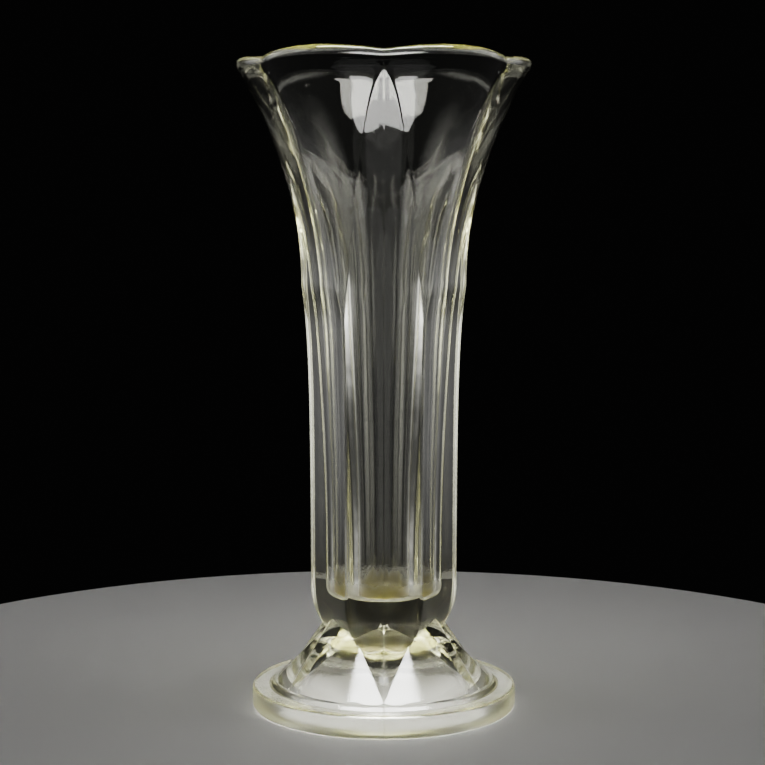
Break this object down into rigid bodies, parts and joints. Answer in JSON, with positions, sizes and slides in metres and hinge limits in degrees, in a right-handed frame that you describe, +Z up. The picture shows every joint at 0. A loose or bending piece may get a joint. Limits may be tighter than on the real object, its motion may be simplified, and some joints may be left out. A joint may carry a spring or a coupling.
{
  "type": "glass flower vase",
  "caption": "Tall clear pressed-glass vase with a six-sided body, a flared lobed mouth and a round stepped foot with a star of wedges.",
  "frame": {"origin": "centre of the foot's underside, on the surface that the vase stands on", "axes": "+Z up along the vase's axis, -Y towards the front, through the middle of a flat"},
  "size_m": [0.0908, 0.0864, 0.2014],
  "materials": {
    "glass": "gloss"
  },
  "bodies": {
    "root": {"bowl": "glass", "foot": "glass"}
  },
  "joints": []
}
